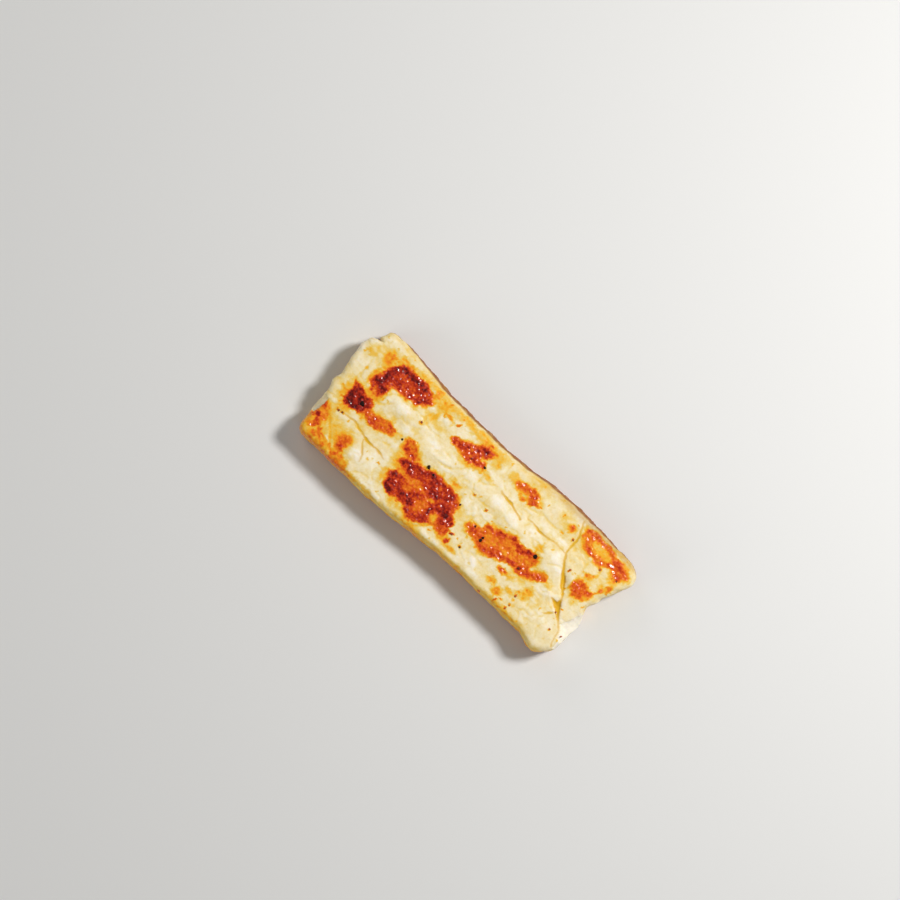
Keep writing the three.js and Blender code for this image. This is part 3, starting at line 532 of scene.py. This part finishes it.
def round_edges(p):
    """The box's sharp edges all round its top and bottom become quarter rounds."""
    radius = np.where(p[:, 2] > 0, TOP_EDGE_RADIUS, BOTTOM_EDGE_RADIUS)
    beyond = np.maximum(np.abs(p) - (HALF - radius[:, None]), 0)
    outward = np.maximum(beyond[:, 0], beyond[:, 1])
    reach = np.hypot(outward, beyond[:, 2])
    shrink = np.maximum(outward, beyond[:, 2]) / np.where(reach > 0, reach, 1)
    shrink = np.where((outward > 0) & (beyond[:, 2] > 0), shrink, 1)
    return np.sign(p) * (np.abs(p) - beyond + beyond * shrink[:, None])


def round_corners(p):
    """The four upright corners become round in plan."""
    beyond = np.maximum(np.abs(p[:, :2]) - (HALF[:2] - CORNER_RADIUS), 0)
    reach = np.hypot(beyond[:, 0], beyond[:, 1])
    shrink = beyond.max(axis=1) / np.where(reach > 0, reach, 1)
    shrink = np.where(beyond.min(axis=1) > 0, shrink, 1)
    flat = np.sign(p[:, :2]) * (np.abs(p[:, :2]) - beyond + beyond * shrink[:, None])
    return np.column_stack([flat, p[:, 2]])


def outline(px, py, height):
    """Moves points of the plain slab to the slice's uneven outline."""
    across = (py / HALF_WIDTH + 1) / 2
    foot = 1 - smooth(height)
    faded = 1 - FLARE_FADE["by"] * smooth((np.abs(px) - FLARE_FADE["from"]) / FLARE_FADE["over"])
    high = high_side(px) + foot * SIDE_FLARE["high"] * faded
    low = low_side(px) - foot * SIDE_FLARE["low"]
    bulge = BULGE * np.sin(math.pi * height)
    turn = RIPPLE_TURN * height
    side_out = bulge + RIPPLE * wave(px, across * 4 + 1 + turn)
    y = lerp(low, high, across) + np.sign(py) * side_out * (np.abs(py) / HALF_WIDTH) ** RIPPLE_REACH
    end_out = bulge + foot * SIDE_FLARE["ends"]
    left_out = lobes(LEFT_LOBES, y) + end_out + RIPPLE * wave(y, 0.4 + turn)
    right_out = lobes(RIGHT_LOBES, y) + end_out + RIPPLE * wave(y, 2.6 + turn)
    near_left = 1 - smooth((px - LEFT_END) / END_REACH)
    near_right = 1 - smooth((RIGHT_END - px) / END_REACH)
    return px - left_out * near_left + right_out * near_right, y


def relief(x, y):
    """Height of the top above the flat slab, without its cracks."""
    crown = CROWN * (1 - (x / RIGHT_END) ** 2) * (1 - (y / HALF_WIDTH) ** 2)
    shapes = sum(rise * bell(turned(x, y, *spot)) for *spot, rise in SWELLINGS + LEDGES)
    uneven = UNEVEN_RISE * wave(x * 0.62 + y * 0.31, 0.7) * wave(y * 0.83 - x * 0.12, 1.9)
    return crown + shapes + uneven


def route_of(points, steps_each=8):
    """A smooth route through a crack's points, by Catmull and Rom's rule."""
    p = np.array(points, float)
    p = np.vstack([2 * p[0] - p[1], p, 2 * p[-1] - p[-2]])
    made = []
    for a, b, c, d in zip(p, p[1:], p[2:], p[3:]):
        for t in np.arange(steps_each) / steps_each:
            bent = 2 * b + (c - a) * t + (2 * a - 5 * b + 4 * c - d) * t**2
            made.append(0.5 * (bent + (3 * b - a - 3 * c + d) * t**3))
    return np.array(made + [p[-2]])


def near_segment(x, y, ax, ay, bx, by):
    """How far along the line from a to b each point is, from 0 to 1, and its distance to that line."""
    ex, ey = bx - ax, by - ay
    t = np.clip(((x - ax) * ex + (y - ay) * ey) / (ex * ex + ey * ey), 0, 1)
    return t, np.hypot(x - ax - t * ex, y - ay - t * ey)


def near_route(x, y, route):
    """Distance to a route, the route's width there, and 1 on its left or -1 on its right."""
    best = np.full(x.shape, np.inf)
    width = np.zeros(x.shape)
    side = np.zeros(x.shape)
    for (ax, ay, aw), (bx, by, bw) in zip(route, route[1:]):
        t, distance = near_segment(x, y, ax, ay, bx, by)
        nearer = distance < best
        best = np.where(nearer, distance, best)
        width = np.where(nearer, aw + t * (bw - aw), width)
        side = np.where(nearer, np.sign((bx - ax) * (y - ay) - (by - ay) * (x - ax)), side)
    return best, width, side


def inside_by(x, y, corners):
    """How far inside a closed outline a point is, below 0 outside it."""
    distance = np.full(x.shape, np.inf)
    inside = np.zeros(x.shape, bool)
    for (ax, ay), (bx, by) in zip(corners, corners[1:] + corners[:1]):
        distance = np.minimum(distance, near_segment(x, y, ax, ay, bx, by)[1])
        if ay != by:
            inside ^= ((ay > y) != (by > y)) & (x < ax + (y - ay) / (by - ay) * (bx - ax))
    return np.where(inside, distance, -distance)


def box_surface():
    """The plain slab's points and faces: a fine top, rows down its sides, and a coarse underside.

    The points of the top come first, and the last value is how many rows and columns of them there are.
    """
    nx, ny = (int(round(2 * half / GRID_STEP / COARSE)) * COARSE for half in HALF[:2])
    nz = int(round(2 * HALF[2] / SIDE_STEP))
    xs, ys = np.linspace(-HALF[0], HALF[0], nx + 1), np.linspace(-HALF[1], HALF[1], ny + 1)
    grid_x, grid_y = np.meshgrid(xs, ys)
    points = [np.column_stack([grid_x.ravel(), grid_y.ravel(), np.full(grid_x.size, HALF[2])])]
    top = np.arange((nx + 1) * (ny + 1)).reshape(ny + 1, nx + 1)
    rim = [(i, 0) for i in range(nx)] + [(nx, j) for j in range(ny)]
    rim += [(i, ny) for i in range(nx, 0, -1)] + [(0, j) for j in range(ny, 0, -1)]
    cells = [(i, j) for j in range(ny) for i in range(nx)]
    faces = [(top[j, i], top[j, i + 1], top[j + 1, i + 1], top[j + 1, i]) for i, j in cells]
    upper = [top[j, i] for i, j in rim]
    count = top.size
    for k in range(1, nz + 1):
        z = HALF[2] - 2 * HALF[2] * k / nz
        points.append(np.array([(xs[i], ys[j], z) for i, j in rim]))
        lower = list(range(count, count + len(rim)))
        count += len(rim)
        for r, a in enumerate(upper):
            s = (r + 1) % len(rim)
            faces.append((a, lower[r], lower[s], upper[s]))
        upper = lower
    below = {place: upper[r] for r, place in enumerate(rim)}
    inner = [(i, j) for j in range(COARSE, ny, COARSE) for i in range(COARSE, nx, COARSE)]
    points.append(np.array([(xs[i], ys[j], -HALF[2]) for i, j in inner]))
    below.update({place: count + k for k, place in enumerate(inner)})
    for j in range(0, ny, COARSE):
        for i in range(0, nx, COARSE):
            far_i, far_j = i + COARSE, j + COARSE
            ring = [(i, j + s) for s in range(COARSE)] + [(i + s, far_j) for s in range(COARSE)]
            ring += [(far_i, far_j - s) for s in range(COARSE)] + [(far_i - s, j) for s in range(COARSE)]
            faces.append(tuple(below[place] for place in ring if place in below))
    return np.vstack(points), faces, top.shape


def new_mesh(name, points, faces):
    mesh = bpy.data.meshes.new(name)
    mesh.from_pydata([tuple(p) for p in points], [], [tuple(int(v) for v in f) for f in faces])
    return mesh


def mesh_object(name, points, faces):
    mesh = new_mesh(name, points, faces)
    mesh.shade_smooth()
    obj = bpy.data.objects.new(name, mesh)
    bpy.context.scene.collection.objects.link(obj)
    return obj


def normals_of(points, faces):
    mesh = new_mesh("for_normals", points, faces)
    found = np.zeros(3 * len(points))
    mesh.vertices.foreach_get("normal", found)
    bpy.data.meshes.remove(mesh)
    return found.reshape(-1, 3)


def hollows(z, shape):
    """How far each point of the top lies below its surroundings. Other points give 0."""
    count = shape[0] * shape[1]
    height = z[:count].reshape(shape)
    soft = height
    window = np.ones(HOLLOW_CELLS) / HOLLOW_CELLS

    def averaged(row):
        return np.convolve(np.pad(row, HOLLOW_CELLS // 2, "edge"), window, "valid")

    for axis in (0, 1, 0, 1):
        soft = np.apply_along_axis(averaged, axis, soft)
    found = np.zeros(z.shape)
    found[:count] = (soft - height).ravel()
    return found


def pillows(points, long, across, seed):
    """Soft pillows that lie along the slice: 1 on a pillow's top and 0 in the valleys between them."""
    bent = points + 0.5 * across * np.column_stack([cloud(points, 3, seed + k, 2) for k in (0, 1, 2)])
    cells = bent * np.array([1 / long, 1 / across, 0.3]) + seed
    nearest = np.array([noise.voronoi(Vector(p))[0][:2] for p in cells])
    return smooth((nearest[:, 1] - nearest[:, 0]) / 0.42)


def grooves(x, y):
    """How deep the cracks and valleys go below the top, less the flap's rise.

    The other two values are how much crack colour with painted shade, and how much of a valley, each point
    has.
    """
    depth = np.zeros(x.shape)
    crease_and_shade = np.zeros(x.shape)
    valley = np.zeros(x.shape)
    for points in VALLEYS:
        distance, width, _ = near_route(x, y, route_of(points, 4))
        valley = np.maximum(valley, np.clip(width / 0.5, 0, 1.2) * bell(distance / 0.4))
    depth += VALLEY_DEPTH * valley
    for name, points in CRACKS.items():
        distance, width, side = near_route(x, y, route_of(points))
        cut = CRACK_DEPTH_PER_WIDTH * width * smooth((0.45 * width + 0.15 - distance) / 0.35)
        bank = FOLD_BANK * (name == "fold") * (side < 0) * bell((distance - 0.6 * width - 0.5) / 0.6)
        depth = np.where(cut > 0, np.maximum(depth, cut), depth - bank)
        # Each crack is painted mustard a little past its cut, partly as painted shade.
        strength = np.clip(0.35 + width / 1.2, 0.4, 1)
        crease_and_shade = np.maximum(crease_and_shade, strength * smooth((0.45 * width + 0.3 - distance) / 0.38))
    within = inside_by(x, y, FLAP)
    depth -= FLAP_RISE * smooth((within + 0.4) / 0.5) * bell(within / FLAP_REACH)
    return depth, crease_and_shade, valley


def broken_depth(x, y):
    """How far the ends' broken places lie below the rest."""
    x, y = x + 0.25 * wave(y * 3, 1.1), y + 0.25 * wave(x * 3, 2.3)
    sunk = np.zeros(x.shape)
    for drop, corners in BROKEN:
        inside = inside_by(x, y, corners)
        sunk += drop * (0.55 * smooth((inside + 0.1) / 0.5) + 0.45 * smooth((inside + 0.1) / 2.4))
    return sunk


def spice_specks():
    """Faint specks of spice scattered over the top, in the form of the dabs."""
    rng = np.random.default_rng(SPECKS["seed"])
    rows = []
    for _ in range(SPECKS["count"]):
        x, y = rng.uniform(LEFT_END, RIGHT_END), rng.uniform(-HALF_WIDTH, HALF_WIDTH)
        size, turn, brown, share = (rng.uniform(*SPECKS[name]) for name in ("size", "turn", "brown", "share"))
        rows.append((x, y, size * SPECKS["stretch"], size, turn, brown, share))
    return rows


def browning(points):
    """How far the top has browned, from the named patches, dabs, and milky places and painted highlights."""
    x = points[:, 0] + RAGGED * cloud(points, 2.4, 1) + FRAYED * cloud(points, 0.9, 2)
    y = points[:, 1] + RAGGED * cloud(points, 2.4, 3) + FRAYED * cloud(points, 0.9, 4)
    level = BARE_LEVEL + 0.06 * cloud(points, 6, 5) + 0.04 * cloud(points, 2.2, 6)
    # Milky places, some of them painted highlights on ridges, are laid on whiter.
    for *spot, share in MILKY_AND_SHEEN:
        level = lerp(level, MILKY_SHEEN_LEVEL, MILKY_SHEEN_COVER * share * cover(x, y, spot, 0.5, 0.8))
    for *spot, brown, share in GOLDEN:
        level = lerp(level, brown + GOLD_SHIFT, share * cover(x, y, spot, 0.3, 1.1))
    patches = [(brown, inside_by(x, y, corners)) for brown, corners in BROWNED.values()]
    spread = HALO_WIDTH * np.clip(1 + 1.3 * cloud(points, 3.5, 22), 0.4, 2)
    for _, depth in patches:
        halo = level + (HALO_LEVEL - level) * bell(np.minimum(depth, 0) / spread)
        level = np.maximum(level, halo)
    for brown, depth in patches:
        level = lerp(level, brown, smooth(0.5 + depth / (2 * EDGE_SOFTNESS)))
    for *spot, brown, share in DABS + spice_specks():
        level = lerp(level, brown, share * cover(x, y, spot, 0.4, 1.1))
    gilded = smooth((level - 0.15) / 0.12) * (1 - smooth((level - 0.38) / 0.12))
    level += 0.08 * gilded * cloud(points, 1.0, 9, 2)
    mottled = 0.5 * smooth((level - 0.3) / 0.2) + 0.5 * smooth((level - 0.6) / 0.2)
    return level + mottled * (0.12 * cloud(points, 1.9, 7) + 0.08 * cloud(points, 0.8, 8, 2) - 0.01)


def facing(y, normal_y, least):
    """How much of a long side each point is: least where it faces along the slice, 1 where it faces out."""
    return smooth((y - SIDES_FROM) / 2) * (least + (1 - least) * smooth((normal_y - 0.1) / 0.5))


def roasted(points, flat, z, wander, normal, on_top):
    """How far it has browned, and its dark brown: a browned foot, and painted shade on the high side."""
    x, y = points[:, 0], points[:, 1]
    past_high = y - high_side(x)
    high_side_brown_and_shade = facing(y, normal[:, 1], 0.25)
    off_floor = smooth(z / 0.5)
    top = browning(flat)
    # Browner towards both long edges; towards the high edge this is partly painted shade.
    top += 0.05 * smooth((past_high + 3) / 2.5) + 0.13 * smooth((low_side(x) - y + 1.5) / 1.3)
    sides = SIDE_LEVEL + 0.05 * cloud(points, 4, 9) + 0.2 * smooth(1 - wander / 3.4)
    # The high side is browner, partly as painted shade.
    sides += high_side_brown_and_shade * (0.08 + 0.08 * smooth((8.5 - wander) / 4))
    sides += 0.15 * facing(-y, -normal[:, 1], 0.4)
    under = UNDER_LEVEL + 0.34 * cloud(points, 11, 11) + 0.12 * cloud(points, 2.5, 12)
    level = lerp(under, lerp(sides, top, on_top), off_floor)
    # A dark brown foot all round; on the high side it reaches higher as painted shade.
    singe_and_shade = 0.8 * smooth(1 - wander / 3.2) + high_side_brown_and_shade * smooth((10.8 - wander) / 3.4)
    singe_and_shade = np.clip(singe_and_shade * (0.9 + 0.35 * cloud(points, 2.2, 24)), 0, 0.9) * (1 - on_top) * off_floor
    # A band of painted shade along the top's high edge.
    singe_and_shade += on_top * smooth((past_high + 2.4) / 2) * (0.09 + 0.27 * smooth((x - 8) / 20))
    return level, singe_and_shade


def bared(level, points, wander, on_top):
    """The browning again, with fresh cheese where the ends have broken. Down the ends its edge is ragged."""
    x, y = points[:, 0], points[:, 1]
    loose = 1.8 * (1 - on_top)
    torn = broken_depth(x + loose * cloud(points, 2.6, 25, 2), y + loose * cloud(points, 2.6, 26, 2))
    fresh = np.where(x < 0, smooth((wander - 4) / 2.5), smooth((wander - 0.6) / 1.4))
    white = np.where(x < 0, BROKEN_LEVEL["left"], BROKEN_LEVEL["right"])
    return lerp(level, white, smooth((torn - 0.15) / 0.3) * fresh)


def slice_points():
    """The slice's points and faces with all its relief, and its painted values by name."""
    box, faces, top_shape = box_surface()
    p = round_corners(round_edges(box))
    p[:, 0] += MIDDLE
    height = (p[:, 2] + HALF[2]) / (2 * HALF[2])
    x, y = outline(p[:, 0], p[:, 1], height)
    upper = smooth(2 * height - 1)
    on_top = smooth((height - 0.6) / 0.3)
    z = p[:, 2] + HALF[2] - PRESSED_FLAT + relief(x, y) * upper
    shaped = np.column_stack([x, y, np.maximum(z, 0)])
    normal = normals_of(shaped, faces)

    # Noise on the sides is drawn out a little upright, and cracks wander the same way at any height
    flat = shaped * np.array([1, 1, 0.6])
    level_plane = np.column_stack([x, y, np.zeros(x.shape)])
    wandered = [at + CRACK_WANDER * cloud(level_plane, 1.6, seed, 2) for at, seed in ((x, 51), (y, 52))]
    depth, crease_and_shade, valley = grooves(*wandered)
    broken = broken_depth(x, y)

    # The browning, which on the sides goes by an uneven height
    wander = z + 1.1 * cloud(shaped, 3, 10) + 0.9 * cloud(shaped, 1.1, 23, 2)
    level, singe_and_shade = roasted(shaped, flat, z, wander, normal, on_top)
    crust = smooth((level - 0.4) / 0.2)
    toasted = smooth((level - 0.22) / 0.2)
    pale = 1 - crust
    wet = on_top * (0.05 + 0.5 * toasted) * (1 - 0.85 * smooth((y - high_side(x) + 3.2) / 1.6))

    # Pillows and lumps on pale cheese, and blisters where it is browned
    plump = pillows(flat, PILLOW["long"], PILLOW["across"], PILLOW["seed"]) - PILLOW["mean"]
    plump *= smooth(0.45 + 1.6 * cloud(flat, 8, 33, 2))
    milk = sum(share * bell(turned(x, y, *spot)) for *spot, share in MILKY_AND_SHEEN)
    rough = clouds(shaped, LUMPS) + PILLOW["rise"] * plump * pale + MILKY_RISE * milk * on_top
    blisters = (0.4 * toasted + 0.6 * crust) * clouds(shaped, BLISTERS)

    # Low places get painted shade, raised ones a little painted highlight, and broken ones are bare
    relief_shade_and_sheen = VALLEY_SHADE * valley * on_top - PILLOW["relief_shade_and_sheen"] * plump - 0.25 * np.clip(rough, -0.15, 0.15)
    rim = inside_by(x, y, FLAP)
    level = level + pale * relief_shade_and_sheen
    # Darker towards the flap's rim at the right end.
    level += FLAP_RIM_DARKER * bell((rim - 0.9) / 1.3) * smooth((x - 43) / 2) * (rim > -0.2)
    level = bared(level, shaped, wander, on_top)

    shaped = shaped + normal * ((rough + blisters) * smooth(z / 1.2))[:, None]
    shaped[:, 2] = np.maximum(shaped[:, 2] - depth * upper, 0) * (1 - broken / THICKNESS)
    hollow = np.clip(hollows(shaped[:, 2], top_shape), -0.02, 0.15)
    # Hollows get painted shade, except on the broken places.
    level += HOLLOW_SHADE * hollow * pale * smooth((height - 0.95) / 0.05) * (1 - smooth(broken / 0.3))
    painted = {"roast": np.clip(level, 0, 1), "crease_and_shade": crease_and_shade * on_top, "singe_and_shade": singe_and_shade, "wet": wet}
    return shaped, faces, painted


def linear(colour):
    """sRGB bytes as a linear RGBA colour."""
    parts = [c / 255 for c in colour]
    return (*(c / 12.92 if c <= 0.04045 else ((c + 0.055) / 1.055) ** 2.4 for c in parts), 1)


def new_material(name, sockets):
    """A material whose shader has these values on its sockets."""
    material = bpy.data.materials.new(name)
    material.use_nodes = True
    shader = material.node_tree.nodes["Principled BSDF"]
    for socket, value in sockets.items():
        shader.inputs[socket].default_value = value
    return material, material.node_tree, shader


def add_node(tree, kind, **sockets):
    node = tree.nodes.new(kind)
    for name, value in sockets.items():
        node.inputs[name].default_value = value
    return node


def maths(tree, operation, a, b):
    node = tree.nodes.new("ShaderNodeMath")
    node.operation = operation
    for socket, value in zip(node.inputs, (a, b)):
        if isinstance(value, (int, float)):
            socket.default_value = value
        else:
            tree.links.new(value, socket)
    return node.outputs[0]


def map_range(tree, value, low, high, to_low, to_high):
    node = tree.nodes.new("ShaderNodeMapRange")
    node.interpolation_type = "SMOOTHSTEP"
    for socket, number in zip(node.inputs[1:5], (low, high, to_low, to_high)):
        socket.default_value = number
    tree.links.new(value, node.inputs[0])
    return node.outputs[0]


def cheese_material():
    material, tree, shader = new_material("grilled_cheese", {
        "Specular IOR Level": 0.12,
        "Subsurface Weight": 0.12,
        "Subsurface Radius": (1.0, 0.7, 0.35),
        "Subsurface Scale": 0.8 * MM,
        "Coat Roughness": 0.19,
        "Coat IOR": 1.6,
    })
    links = tree.links
    place = tree.nodes.new("ShaderNodeTexCoord").outputs["Object"]

    def painted(name):
        node = tree.nodes.new("ShaderNodeAttribute")
        node.attribute_name = name
        return node.outputs["Fac"]

    def speckle(scale, detail):
        texture = add_node(tree, "ShaderNodeTexNoise", Scale=scale, Detail=detail, Roughness=0.5)
        links.new(place, texture.inputs["Vector"])
        return maths(tree, "SUBTRACT", texture.outputs["Fac"], 0.5)

    # The browning with fine grain on it, stronger on the crust
    fine, grain, sparkle = speckle(1700, 2), speckle(900, 2), speckle(2600, 1)
    roast = painted("roast")
    mixed = maths(tree, "ADD", maths(tree, "MULTIPLY", fine, 0.45), maths(tree, "MULTIPLY", grain, 0.5))
    crust = map_range(tree, roast, 0.3, 0.85, 0.24, 1.0)
    level = maths(tree, "ADD", roast, maths(tree, "MULTIPLY", mixed, crust))
    ramp = tree.nodes.new("ShaderNodeValToRGB")
    for k, (at, colour) in enumerate(ROAST_COLOURS):
        stop = ramp.color_ramp.elements[k] if k < 2 else ramp.color_ramp.elements.new(at)
        stop.position = at
        stop.color = linear(colour)
    links.new(level, ramp.inputs["Fac"])

    # Cracks are mustard, partly painted shade. Dark brown: a browned foot, and painted shade on the high side
    colour = ramp.outputs["Color"]
    crease_and_shade = maths(tree, "MULTIPLY", painted("crease_and_shade"), CRACK_SHADE_SHARE)
    for share, over in ((crease_and_shade, CRACK_COLOUR_AND_SHADE), (painted("singe_and_shade"), SINGE_AND_SHADE_COLOUR)):
        mix = tree.nodes.new("ShaderNodeMix")
        mix.data_type = "RGBA"
        links.new(share, mix.inputs["Factor"])
        links.new(colour, mix.inputs["A"])
        mix.inputs["B"].default_value = linear(over)
        colour = mix.outputs["Result"]
    links.new(colour, shader.inputs["Base Color"])

    # Crust is smoother, wetter and grainier than pale cheese
    grained = maths(tree, "ADD", level, maths(tree, "MULTIPLY", grain, 0.6))
    links.new(map_range(tree, grained, 0.2, 0.6, 0.55, 0.42), shader.inputs["Roughness"])
    links.new(painted("wet"), shader.inputs["Coat Weight"])
    bump = add_node(tree, "ShaderNodeBump", Strength=0.6, Distance=0.12 * MM)
    both = maths(tree, "MULTIPLY", maths(tree, "ADD", fine, grain), 0.5)
    uneven = maths(tree, "ADD", both, sparkle)
    coarse = map_range(tree, level, 0.2, 0.6, 0.4, 1.0)
    links.new(maths(tree, "MULTIPLY", uneven, coarse), bump.inputs["Height"])
    links.new(bump.outputs["Normal"], shader.inputs["Normal"])
    return material


def pepper_material():
    """Nearly black, or orange brown where a flake's painted tone is high."""
    material, tree, shader = new_material("black_pepper", {"Roughness": 0.6, "Specular IOR Level": 0.25})
    place = tree.nodes.new("ShaderNodeTexCoord").outputs["Object"]
    texture = add_node(tree, "ShaderNodeTexNoise", Scale=2600, Detail=3)
    tree.links.new(place, texture.inputs["Vector"])
    brown = tree.nodes.new("ShaderNodeAttribute")
    brown.attribute_name = "brown"
    ramp = tree.nodes.new("ShaderNodeValToRGB")
    for stop, colour in zip(ramp.color_ramp.elements, PEPPER_COLOURS):
        stop.color = linear(colour)
    uneven = maths(tree, "MULTIPLY", texture.outputs["Fac"], 0.05)
    tone = maths(tree, "ADD", maths(tree, "MULTIPLY", brown.outputs["Fac"], 0.8), uneven)
    tree.links.new(tone, ramp.inputs["Fac"])
    tree.links.new(ramp.outputs["Color"], shader.inputs["Base Color"])
    return material


def make_slice():
    points, faces, painted = slice_points()
    obj = mesh_object("halloumi_cheese", points * MM, faces)
    for name, values in painted.items():
        layer = obj.data.attributes.new(name, "FLOAT", "POINT")
        layer.data.foreach_set("value", values.astype(np.float32))
    obj.data.materials.append(cheese_material())
    return obj, points


def make_pepper():
    """Thin angular shards, each pressed a little into the cheese."""
    rng = np.random.default_rng(PEPPER_SEED)
    points, faces, tones = [], [], []
    n = SHARD_SIDES
    for x, y, size, brown in PEPPER:
        surface = THICKNESS + float(relief(np.array([x]), np.array([y]))[0])
        first = len(points)
        for ring, (spread, lift) in enumerate(SHARD_RINGS):
            for k in range(n):
                angle = 2 * math.pi * (k + 0.5 * ring) / n
                reach = size / 2 * spread * rng.uniform(0.7, 1.25)
                up = size * (lift + rng.uniform(-0.05, 0.05) - PEPPER_SUNK)
                points.append((x + reach * math.cos(angle), y + reach * math.sin(angle), surface + up))
        for ring in range(len(SHARD_RINGS) - 1):
            for k in range(n):
                a, b = first + ring * n + k, first + ring * n + (k + 1) % n
                faces.append((a, b, b + n, a + n))
        faces.append(tuple(first + k for k in reversed(range(n))))
        faces.append(tuple(len(points) - n + k for k in range(n)))
        tones += [brown] * len(SHARD_RINGS) * n
    obj = mesh_object("pepper_flakes", np.array(points) * MM, faces)
    obj.data.attributes.new("brown", "FLOAT", "POINT").data.foreach_set("value", tones)
    obj.data.shade_flat()
    obj.data.materials.append(pepper_material())
    return obj


def to_frame(objects, points):
    """Moves the meshes from the slice's own axes to the frame's, where the node's box is centred."""
    low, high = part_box(NODE)
    middle = (points.min(0) + points.max(0)) / 2 * MM
    shift = Vector(((low.x + high.x) / 2 - middle[0], (low.y + high.y) / 2 - middle[1], low.z))
    for obj in objects:
        for vertex in obj.data.vertices:
            vertex.co += shift
    return shift


# The camera looks nearly straight down. PHOTO_MIDDLE is the point of the slice's plane at the picture's
# middle, and FRAME_WIDTH is how much of that plane the picture spans.
AZIMUTH, ELEVATION = 44.4, 86.0
PHOTO_MIDDLE = (-13.44, 5.73)
FRAME_WIDTH = 268.5
LENS, SENSOR = 85, 36

# The lights: azimuth from +X towards +Y, elevation, distance and width in metres, and watts.
KEY_LIGHT = ("key", 62, 50, 0.7, 0.13, 4.18)
FILL_LIGHTS = [
    ("fill_right", -30, 25, 0.9, 0.5, 1.0),
    ("fill_low", -120, 25, 0.9, 0.5, 1.7),
    ("fill_left", 160, 25, 0.9, 0.5, 1.3),
]
WORLD_STRENGTH = 0.12
FLOOR_HALF, FLOOR_COLOUR = 1.5, (226, 225, 222)


def make_camera(shift):
    data = bpy.data.cameras.new("camera")
    data.lens = LENS
    data.sensor_width = SENSOR
    camera = bpy.data.objects.new("camera", data)
    bpy.context.scene.collection.objects.link(camera)
    a, e = math.radians(AZIMUTH), math.radians(ELEVATION)
    target = Vector((PHOTO_MIDDLE[0] * MM, PHOTO_MIDDLE[1] * MM, THICKNESS * MM)) + shift
    back = Vector((math.sin(a) * math.cos(e), -math.cos(a) * math.cos(e), math.sin(e)))
    camera.location = target + back * (FRAME_WIDTH * MM * LENS / SENSOR)
    camera.rotation_euler = (target - camera.location).to_track_quat("-Z", "Y").to_euler()
    bpy.context.scene.camera = camera


def add_light(name, azimuth, elevation, distance, size, watts):
    """A square soft light that faces the slice."""
    data = bpy.data.lights.new(name, "AREA")
    data.size = size
    data.energy = watts
    light = bpy.data.objects.new(name, data)
    bpy.context.scene.collection.objects.link(light)
    a, e = math.radians(azimuth), math.radians(elevation)
    light.location = Vector((math.cos(a) * math.cos(e), math.sin(a) * math.cos(e), math.sin(e))) * distance
    light.rotation_euler = (-light.location).to_track_quat("-Z", "Y").to_euler()
    return light


def make_stage():
    h = FLOOR_HALF
    floor = mesh_object("floor", [(-h, -h, 0), (h, -h, 0), (h, h, 0), (-h, h, 0)], [(0, 1, 2, 3)])
    material, _, _ = new_material("pale_floor", {"Base Color": linear(FLOOR_COLOUR), "Roughness": 0.7})
    floor.data.materials.append(material)
    world = bpy.context.scene.world or bpy.data.worlds.new("world")
    bpy.context.scene.world = world
    world.use_nodes = True
    background = world.node_tree.nodes["Background"]
    background.inputs["Color"].default_value = (1, 1, 1, 1)
    background.inputs["Strength"].default_value = WORLD_STRENGTH
    add_light(*KEY_LIGHT)
    for row in FILL_LIGHTS:
        add_light(*row).visible_glossy = False
    bpy.context.scene.view_settings.view_transform = "Standard"


cheese, cheese_points = make_slice()
pepper = make_pepper()
shift = to_frame([cheese, pepper], cheese_points)
for piece in (cheese, pepper):
    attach(piece, "root")
    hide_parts(NODE)
make_camera(shift)
make_stage()
